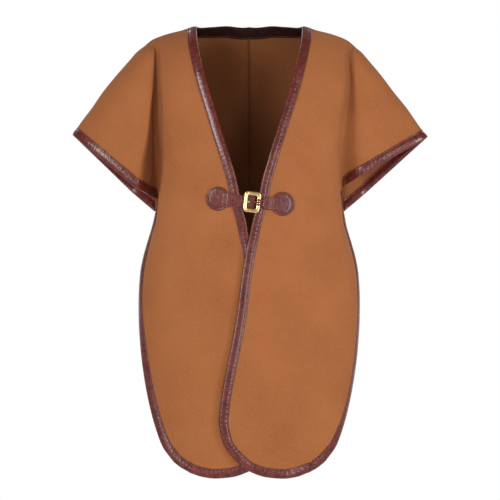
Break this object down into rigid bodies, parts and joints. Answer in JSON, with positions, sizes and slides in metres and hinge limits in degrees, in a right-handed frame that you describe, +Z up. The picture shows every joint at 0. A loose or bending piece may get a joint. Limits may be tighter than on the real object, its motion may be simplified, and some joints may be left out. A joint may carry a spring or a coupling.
{
  "type": "cape",
  "caption": "Wool cape with short winged sleeves, deep V neck, side slits, leather-bound edges and a strap and buckle closure.",
  "frame": {"origin": "between the wearer's shoulders, at the height where the cape rests on them", "axes": "+Z up, -Y towards the front of the cape, +X towards the wearer's left"},
  "size_m": [0.7097, 0.2543, 0.9024],
  "materials": {
    "wool": "tan wool coating with a short brushed nap",
    "binding": "glazed dark oxblood leather",
    "buckle": "warm polished brass"
  },
  "bodies": {
    "root": {"front_right": "wool", "front_left": "wool", "back_right": "wool", "back_left": "wool", "front_binding_right": "binding", "front_binding_left": "binding", "neck_binding": "binding", "back_binding": "binding", "sleeve_binding_right": "binding", "sleeve_binding_left": "binding", "patch_right": "binding", "patch_left": "binding", "strap_right": "binding", "strap_left": "binding", "buckle_frame": "buckle", "buckle_prong": "buckle"}
  },
  "joints": []
}
